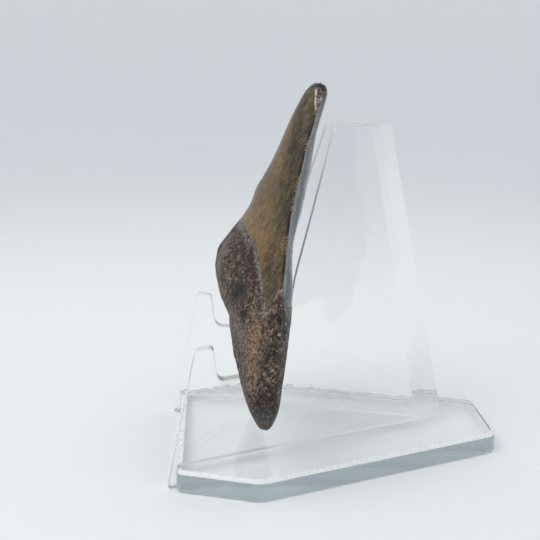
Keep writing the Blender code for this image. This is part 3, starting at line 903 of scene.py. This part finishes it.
def root_material():
    m = Nodes("fossil_root", (0.60, 0.555, 0.52))
    v = m.coords()
    maroon, charcoal, tan = m.zone("zone_a")
    greyblue, mauve, smoothend = m.zone("zone_b")
    depth, flecks, backside = m.zone("zone_c")
    fringe, shade, _ = m.zone("zone_d")
    big = m.noise(v, 0.11, 3, 0.55, 0.5)
    mid = m.noise(v, 0.45, 4, 0.6, 0.3)
    grain = m.noise(v, 1.5, 5, 0.68)
    grit = m.noise(v, 3.6, 4, 0.7)
    lines = m.noise(m.coords((1.5, 0.16, 1.5)), 1.0, 4, 0.62, 0.5)
    vor = m.voronoi(v, 1.35, "F1")
    vor2 = m.voronoi(v, 0.72, "F1")

    col = m.mix(m.range(big, 0.42, 0.58), "#4b403b", "#66564c")
    col = m.mix(m.mul(m.range(mid, 0.49, 0.62), 0.65), col, "#957d6c")
    col = m.mix(m.mul(m.range(mid, 0.51, 0.38), 0.75), col, "#27211f")
    col = m.mix(m.mul(fringe, 0.85), col, "#4e5459")
    col = m.mix(m.mul(mauve, m.range(lines, 0.40, 0.58, 0.55, 0.95)), col, "#6e6361")
    col = m.mix(m.mul(tan, m.range(mid, 0.40, 0.58, 0.65, 1.0)), col, "#dab999")
    col = m.mix(m.mul(maroon, 0.95), col, "#5a1f1c")
    col = m.mix(m.mul(backside, 0.75), col, "#57565a")
    col = m.mix(m.mul(shade, m.range(mid, 0.38, 0.58, 0.9, 0.5)), col, "#3a322e")
    col = m.mix(m.mul(charcoal, m.range(mid, 0.30, 0.62, 0.9, 1.0)), col, "#1f2327")
    col = m.mix(m.mul(smoothend, m.range(mid, 0.40, 0.60, 0.95, 0.35)), col, "#4b5156")
    col = m.mix(m.mul(greyblue, m.range(mid, 0.38, 0.54, 0.45, 0.95)), col, "#b2bcb6")
    # long streaks on the lobes
    lobes = m.add(mauve, m.mul(tan, 0.6), clamp=True)
    col = m.mix(m.mul(m.mul(lobes, m.range(lines, 0.53, 0.66)), 0.5), col, "#a88c6f")
    col = m.mix(m.mul(m.mul(lobes, m.range(lines, 0.47, 0.35)), 0.6), col, "#342b27")
    # specks: light and dark, sparse, in patches, few on the smooth parts
    calm = m.math("SUBTRACT", 1.0, m.add(m.mul(smoothend, 0.6), m.add(
        m.mul(charcoal, 0.9), m.add(m.mul(fringe, 0.4), m.mul(m.add(backside, maroon), 0.35)))), clamp=True)
    patch = m.mul(calm, m.range(m.noise(v, 0.22, 2, 0.5), 0.40, 0.56, 0.6, 1.0))
    hollow = m.noise(v, 1.05, 4, 0.66, 0.3)
    light = m.noise(v, 2.0, 3, 0.6, 0.2)
    col = m.mix(m.mul(m.mul(m.range(hollow, 0.50, 0.40), calm), 0.70), col, "#1a1514")
    col = m.mix(m.mul(m.mul(m.range(hollow, 0.52, 0.64), calm), 0.45), col, "#b59a88")
    loose = m.warped(m.coords((1, 0.72, 1)), 1.1, 0.9)
    g1 = m.grains(loose, 1.05)
    g2 = m.grains(loose, 2.1)
    col = m.mix(m.mul(m.mul(m.range(g1, 0.30, 0.06), calm), 0.72), col, "#191413")
    col = m.mix(m.mul(m.mul(m.range(g1, 0.76, 0.97), patch), 0.62), col, "#bda292")
    col = m.mix(m.mul(m.mul(m.range(g2, 0.28, 0.04), calm), 0.62), col, "#191413")
    col = m.mix(m.mul(m.mul(m.range(g2, 0.78, 0.98), patch), 0.78), col, "#e4cdbb")
    col = m.mix(m.mul(m.mul(m.range(grit, 0.47, 0.36), calm), 0.30), col, "#241e1c")
    col = m.mix(m.mul(m.mul(m.range(grit, 0.59, 0.67), patch), 0.55), col, "#e8dccf")
    col = m.mix(m.mul(m.mul(m.range(vor.outputs["Distance"], 0.24, 0.10), calm), 0.6), col, "#1b1514")
    # painted shade in the hollows, from the depth mask
    col = m.mix(m.mul(depth, 0.55), col, "#1f1816")
    col = m.mix(m.mul(flecks, m.range(grain, 0.45, 0.52)), col, "#fff2dc")
    m.put(m.bsdf.inputs["Base Color"], col)

    rough = m.range(mid, 0.3, 0.7, 0.46, 0.66)
    rough = m.add(rough, m.mul(m.range(grain, 0.4, 0.7), 0.12))
    rough = m.add(rough, m.mul(m.math("SUBTRACT", 1.0, calm), -0.16), clamp=True)
    m.put(m.bsdf.inputs["Roughness"], rough)
    m.bsdf.inputs["IOR"].default_value = 1.50
    m.bsdf.inputs["Specular IOR Level"].default_value = 0.28
    m.bsdf.inputs["Coat Weight"].default_value = 0.06
    m.bsdf.inputs["Coat Roughness"].default_value = 0.3

    height = m.add(m.mul(grain, 0.9), m.mul(grit, 0.4))
    height = m.mul(height, calm)
    height = m.add(height, m.mul(m.mul(lines, 0.35), lobes))
    pore = m.mul(m.range(vor.outputs["Distance"], 0.28, 0.08), calm)
    height = m.math("SUBTRACT", height, m.mul(pore, 0.6))
    n = m.bump(height, 0.00045)
    m.put(m.bsdf.inputs["Normal"], n)
    return m.mat


def clear_material(name, tint, density, rough, wear, milled=0.0, painted_white_glow=0.0):
    """Clear moulded plastic with hairlines, dust and slight moulding waves."""
    m = Nodes(name)
    v = m.coords((1000, 1000, 1000), None)
    m.bsdf.inputs["Base Color"].default_value = lin(tint)
    # painted glow: this share of the surface is diffuse white, not clear
    m.bsdf.inputs["Transmission Weight"].default_value = 1.0 - painted_white_glow
    m.bsdf.inputs["IOR"].default_value = 1.49
    scratch = m.noise(m.coords((2600, 90, 400), None), 1.0, 2, 0.5, 0.6)
    scratch2 = m.noise(m.coords((180, 3100, 260), None), 1.0, 2, 0.5, 0.6)
    cloud = m.noise(v, 0.06, 3, 0.6)
    marks = m.add(m.range(scratch, 0.66, 0.72), m.range(scratch2, 0.67, 0.73), clamp=True)
    r = m.range(cloud, 0.35, 0.7, rough, rough + 0.02)
    r = m.add(r, m.mul(marks, wear))
    m.put(m.bsdf.inputs["Roughness"], r)
    wave = m.noise(v, 0.045, 2, 0.5)
    n = m.bump(wave, 0.00002, 0.12)
    if milled:                       # cut edge: fine upright cutter marks
        cuts = m.noise(m.coords((1100, 1100, 60), None), 1.0, 2, 0.5)
        r = m.add(m.range(cuts, 0.3, 0.7, 0.6 * milled, milled), m.mul(marks, wear))
        m.put(m.bsdf.inputs["Roughness"], r)
    m.put(m.bsdf.inputs["Normal"], n)
    if density > 0:
        vol = m.t.nodes.new("ShaderNodeVolumeAbsorption")
        vol.inputs["Color"].default_value = (0.05, 0.15, 0.20, 1.0)
        vol.inputs["Density"].default_value = density
        m.t.links.new(vol.outputs[0], m.out.inputs["Volume"])
    return m.mat


# --------------------------------------------------------------------- base
BASE_T = 7.6
BASE_CORNERS = [(33.0, -31.9, 2.5), (41.6, -5.5, 9.0), (14.3, 78.6, 5.0)]


def rounded(corners, step=14.0):
    """Outline with arcs, as (x, y, normal angle)."""
    out = []
    n = len(corners)
    for i in range(n):
        x0, y0, _ = corners[i - 1]
        x1, y1, r = corners[i]
        x2, y2, _ = corners[(i + 1) % n]
        ax, ay, bx, by = x0 - x1, y0 - y1, x2 - x1, y2 - y1
        la, lb = math.hypot(ax, ay), math.hypot(bx, by)
        ax, ay, bx, by = ax / la, ay / la, bx / lb, by / lb
        half = 0.5 * math.acos(max(-1.0, min(1.0, ax * bx + ay * by)))
        cut = min(r / math.tan(half), 0.45 * la, 0.45 * lb)
        r = cut * math.tan(half)
        mx, my = ax + bx, ay + by
        lm = math.hypot(mx, my)
        cx = x1 + mx / lm * r / math.sin(half)
        cy = y1 + my / lm * r / math.sin(half)
        a0 = math.atan2(y1 + ay * cut - cy, x1 + ax * cut - cx)
        a1 = math.atan2(y1 + by * cut - cy, x1 + bx * cut - cx)
        da = (a1 - a0 + math.pi) % (2 * math.pi) - math.pi
        k = max(2, int(math.ceil(abs(math.degrees(da)) / step)))
        for j in range(k + 1):
            a = a0 + da * j / k
            out.append((cx + r * math.cos(a), cy + r * math.sin(a), a))
    return out


def build_base():
    corners = list(BASE_CORNERS) + [(-x, y, r) for x, y, r in reversed(BASE_CORNERS)]
    plan = rounded(corners, 4.0)
    r, q = 1.7, 0.5
    stack = []                                    # inset, height, tilt of normal
    for k in range(5):
        a = math.radians(90 * (1 - k / 4))
        stack.append((q * (1 - math.cos(a)), max(0.05, q - q * math.sin(a)), -a))
    for k in range(11):
        a = math.radians(90 * k / 10)
        stack.append((r * (1 - math.cos(a)), BASE_T - r + r * math.sin(a), a))
    verts, normals, rings = [], [], []
    for d, z, a in stack:
        ring = []
        for x, y, b in plan:
            ring.append(len(verts))
            verts.append((x - math.cos(b) * d, y - math.sin(b) * d + Y_SHIFT, z))
            normals.append((math.cos(b) * math.cos(a), math.sin(b) * math.cos(a), math.sin(a)))
        rings.append(ring)
    n = len(plan)
    faces = []
    for low, high in zip(rings, rings[1:]):
        for i in range(n):
            j = (i + 1) % n
            faces.append((low[i], low[j], high[j], high[i]))
    faces.append(tuple(rings[-1]))
    faces.append(tuple(reversed(rings[0])))
    mesh = bpy.data.meshes.new("base_plate")
    mesh.from_pydata([(x * MM, y * MM, z * MM) for x, y, z in verts], [], faces)
    mesh.shade_smooth()
    mesh.normals_split_custom_set_from_vertices(normals)
    ob = bpy.data.objects.new("base_plate", mesh)
    bpy.context.scene.collection.objects.link(ob)
    return ob


# -------------------------------------------------------------------- easel
SPINE_Y, SPINE_LEAN, HALF_ANGLE, SPREAD = 64.0, 12.02, 17.18, 0.001813
PLATE_X, PLATE_DRAFT = 3.2, 0.0075
EASEL_TOP, RAIL_Z, HOOK_Z, EASEL_BOTTOM = 112.5, 35.6, 47.3, 7.9
FOOT_BACK_Y, FOOT_FRONT_Y = -32.2, -35.2


def plate_xy(s, z):
    x = s * math.sin(math.radians(HALF_ANGLE)) + SPREAD * z * s
    y = (SPINE_Y - z * math.tan(math.radians(SPINE_LEAN))
         - s * math.cos(math.radians(HALF_ANGLE)))
    return x, y


def build_easel():
    """The folded plate, cut to its side outline, with small rounded edges."""
    import bmesh
    reach, spans, levels = 112.0, 14, 14
    z_low, z_high = -6.0, 120.0
    bm = bmesh.new()
    rings = []
    for k in range(levels + 1):
        z = z_low + (z_high - z_low) * k / levels
        thick = PLATE_X + PLATE_DRAFT * z
        crease = thick / (math.sin(math.radians(HALF_ANGLE)) + SPREAD * z)
        outer = [reach * i / spans for i in range(spans + 1)]
        inner = [crease + (reach - crease) * i / spans for i in range(spans + 1)]
        loop = [plate_xy(s, z) for s in outer]
        loop += [(plate_xy(s, z)[0] - thick, plate_xy(s, z)[1]) for s in reversed(inner)]
        loop += [(thick - plate_xy(s, z)[0], plate_xy(s, z)[1]) for s in inner[1:]]
        loop += [(-plate_xy(s, z)[0], plate_xy(s, z)[1]) for s in reversed(outer[1:])]
        rings.append([bm.verts.new((x * MM, (y + Y_SHIFT) * MM, z * MM)) for x, y in loop])
    n = len(rings[0])
    for low, high in zip(rings, rings[1:]):
        for i in range(n):
            j = (i + 1) % n
            bm.faces.new((low[i], low[j], high[j], high[i]))
    bm.faces.new(rings[-1])
    bm.faces.new(list(reversed(rings[0])))
    bmesh.ops.recalc_face_normals(bm, faces=bm.faces[:])
    mesh = bpy.data.meshes.new("easel_sheet")
    bm.to_mesh(mesh)
    bm.free()
    sheet = bpy.data.objects.new("easel_sheet", mesh)
    bpy.context.scene.collection.objects.link(sheet)

    outline = rounded([
        (90.0, EASEL_BOTTOM, 0.0), (FOOT_BACK_Y, EASEL_BOTTOM, 0.8),
        (FOOT_BACK_Y, 0.0, 0.5), (FOOT_FRONT_Y, 0.0, 0.9),
        (-25.4, HOOK_Z, 1.4), (-19.6, HOOK_Z, 1.4), (-18.3, RAIL_Z, 2.6),
        (3.0, RAIL_Z, 5.0), (6.6, 65.0, 60.0), (19.9, EASEL_TOP, 1.6),
        (90.0, EASEL_TOP, 0.0)], 9.0)
    bm = bmesh.new()
    left = [bm.verts.new((-0.06, (y + Y_SHIFT) * MM, z * MM)) for y, z, _ in outline]
    face = bm.faces.new(left)
    ext = bmesh.ops.extrude_face_region(bm, geom=[face])
    bmesh.ops.translate(bm, verts=[g for g in ext["geom"] if isinstance(g, bmesh.types.BMVert)],
                        vec=(0.12, 0.0, 0.0))
    bmesh.ops.recalc_face_normals(bm, faces=bm.faces[:])
    cmesh = bpy.data.meshes.new("easel_outline")
    bm.to_mesh(cmesh)
    bm.free()
    cutter = bpy.data.objects.new("easel_outline", cmesh)
    bpy.context.scene.collection.objects.link(cutter)
    mod = sheet.modifiers.new("outline", "BOOLEAN")
    mod.operation, mod.solver, mod.object = "INTERSECT", "EXACT", cutter
    bev = sheet.modifiers.new("edges", "BEVEL")
    bev.width, bev.segments = 0.00038, 3
    bev.limit_method, bev.angle_limit = "ANGLE", math.radians(28)
    bev.harden_normals = True
    bpy.context.view_layer.update()
    made = bpy.data.meshes.new_from_object(
        sheet.evaluated_get(bpy.context.evaluated_depsgraph_get()))
    bpy.data.objects.remove(sheet, do_unlink=True)
    bpy.data.objects.remove(cutter, do_unlink=True)
    made.name = "easel_plates"
    ob = bpy.data.objects.new("easel_plates", made)
    bpy.context.scene.collection.objects.link(ob)
    return ob


# --------------------------------------------------------------------- stage
def build_stage():
    """A pale round floor that sweeps up into a backdrop."""
    prof = [(0.5 * k / 6, 0.0) for k in range(7)]
    for k in range(1, 31):
        a = math.radians(90 * k / 30)
        prof.append((0.5 + 2.1 * math.sin(a), 1.5 * (1 - math.cos(a))))
    n = 96
    verts = [(0.0, 0.0, -0.0002)]
    for r, z in prof[1:]:
        for i in range(n):
            a = 2 * math.pi * i / n
            verts.append((r * math.cos(a), r * math.sin(a), z - 0.0002))
    faces = [(0, 1 + i, 1 + (i + 1) % n) for i in range(n)]
    for k in range(len(prof) - 2):
        for i in range(n):
            a, b = 1 + k * n + i, 1 + k * n + (i + 1) % n
            faces.append((a, a + n, b + n, b))
    mesh = bpy.data.meshes.new("floor_sweep")
    mesh.from_pydata(verts, [], faces)
    mesh.shade_smooth()
    ob = bpy.data.objects.new("floor_sweep", mesh)
    bpy.context.scene.collection.objects.link(ob)
    m = Nodes("pale_floor")
    geo = m.t.nodes.new("ShaderNodeTexCoord")
    ln = m.t.nodes.new("ShaderNodeVectorMath")
    ln.operation = "LENGTH"
    m.t.links.new(geo.outputs["Object"], ln.inputs[0])
    # painted pool of light: brightest at the centre, darker out to 0.6 m, lighter again up the sweep
    col = m.mix(m.range(ln.outputs["Value"], 0.10, 0.60), "#fcfdfd", "#eceef0")
    col = m.mix(m.range(ln.outputs["Value"], 0.70, 2.2), col, "#f5f7f8")
    m.put(m.bsdf.inputs["Base Color"], col)
    m.bsdf.inputs["Roughness"].default_value = 0.9
    m.bsdf.inputs["Specular IOR Level"].default_value = 0.1
    mesh.materials.append(m.mat)
    return ob


def build_lights():
    world = bpy.data.worlds.new("studio")
    bpy.context.scene.world = world
    world.use_nodes = True
    t = world.node_tree
    bg = t.nodes["Background"]
    bg.inputs["Color"].default_value = (0.93, 0.97, 1.0, 1)
    bg.inputs["Strength"].default_value = 0.755

    def area(name, at, to, size, power, colour=(1, 1, 1)):
        data = bpy.data.lights.new(name, "AREA")
        data.shape = "DISK"
        data.size = size
        data.energy = power
        data.color = colour
        ob = bpy.data.objects.new(name, data)
        ob.location = at
        ob.rotation_euler = (Vector(to) - Vector(at)).to_track_quat("-Z", "Y").to_euler()
        bpy.context.scene.collection.objects.link(ob)
        return ob
    area("key_soft", (0.20, -0.38, 0.72), (0.02, 0, 0.02), 0.6, 1.55, (1.0, 0.995, 0.985))


def build_camera():
    data = bpy.data.cameras.new("photo_camera")
    data.sensor_width = 36.0
    data.sensor_fit = "HORIZONTAL"
    data.lens = 850.0 / 540.0 * 36.0
    data.clip_start, data.clip_end = 0.01, 20.0
    cam = bpy.data.objects.new("photo_camera", data)
    cam.location = (0.27664, -0.04211, 0.14226)
    look = Vector((-0.95972176, 0.0713965, -0.27172907))
    cam.rotation_euler = look.to_track_quat("-Z", "Y").to_euler()
    bpy.context.scene.collection.objects.link(cam)
    bpy.context.scene.camera = cam


# ---------------------------------------------------------------------- main
root = build_root()
enamel = build_enamel()
for ob in (root, enamel):
    ob.data.shade_smooth()
root.data.materials.append(root_material())
enamel.data.materials.append(enamel_material())
for ob in (root, enamel):
    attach(ob, "root")
    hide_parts("tooth")

base = build_base()
base.data.materials.append(clear_material("clear_base", "#ffffff", 0.5, 0.006, 0.05))
# the base's upright sides: clear plastic tinted grey, a painted shade
base.data.materials.append(clear_material("clear_base_side_painted_shade", "#c3cdd1", 0.5, 0.02, 0.05, 0.22, 0.05))
# the rounded edges: mostly white diffuse instead of clear, a painted highlight
base.data.materials.append(clear_material("clear_base_rim_painted_highlight", "#ffffff", 0.5, 0.25, 0.05, 0.35, 0.85))
for p in base.data.polygons:
    up = p.normal.z
    p.material_index = 1 if abs(up) < 0.25 else 2 if 0.25 < up < 0.985 else 0
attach(base, "root")
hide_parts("base")

easel = build_easel()
easel.data.materials.clear()
easel.data.materials.append(clear_material("clear_easel", "#ffffff", 0.6, 0.004, 0.05))
# cut edges and feet: mostly white diffuse instead of clear, a painted glow of the edges
easel.data.materials.append(clear_material("clear_easel_cut_edge_painted_glow", "#ffffff", 0.6, 0.10, 0.05, 0.24, 0.82))
for p in easel.data.polygons:
    cut = abs(p.normal.x) < 0.75 and p.center.y < 0.03 and abs(p.center.x) > 0.006
    if cut or p.normal.z < -0.9:
        p.material_index = 1
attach(easel, "root")
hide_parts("easel")

build_stage()
build_lights()
build_camera()

scene = bpy.context.scene
scene.view_settings.view_transform = "Standard"
scene.view_settings.look = "None"
scene.view_settings.exposure = 0.0
# light has to find its way along the clear plates, so the paths are long
scene.cycles.max_bounces = 64
scene.cycles.glossy_bounces = 64
scene.cycles.transmission_bounces = 64
scene.cycles.blur_glossy = 0.0

bpy.context.view_layer.update()
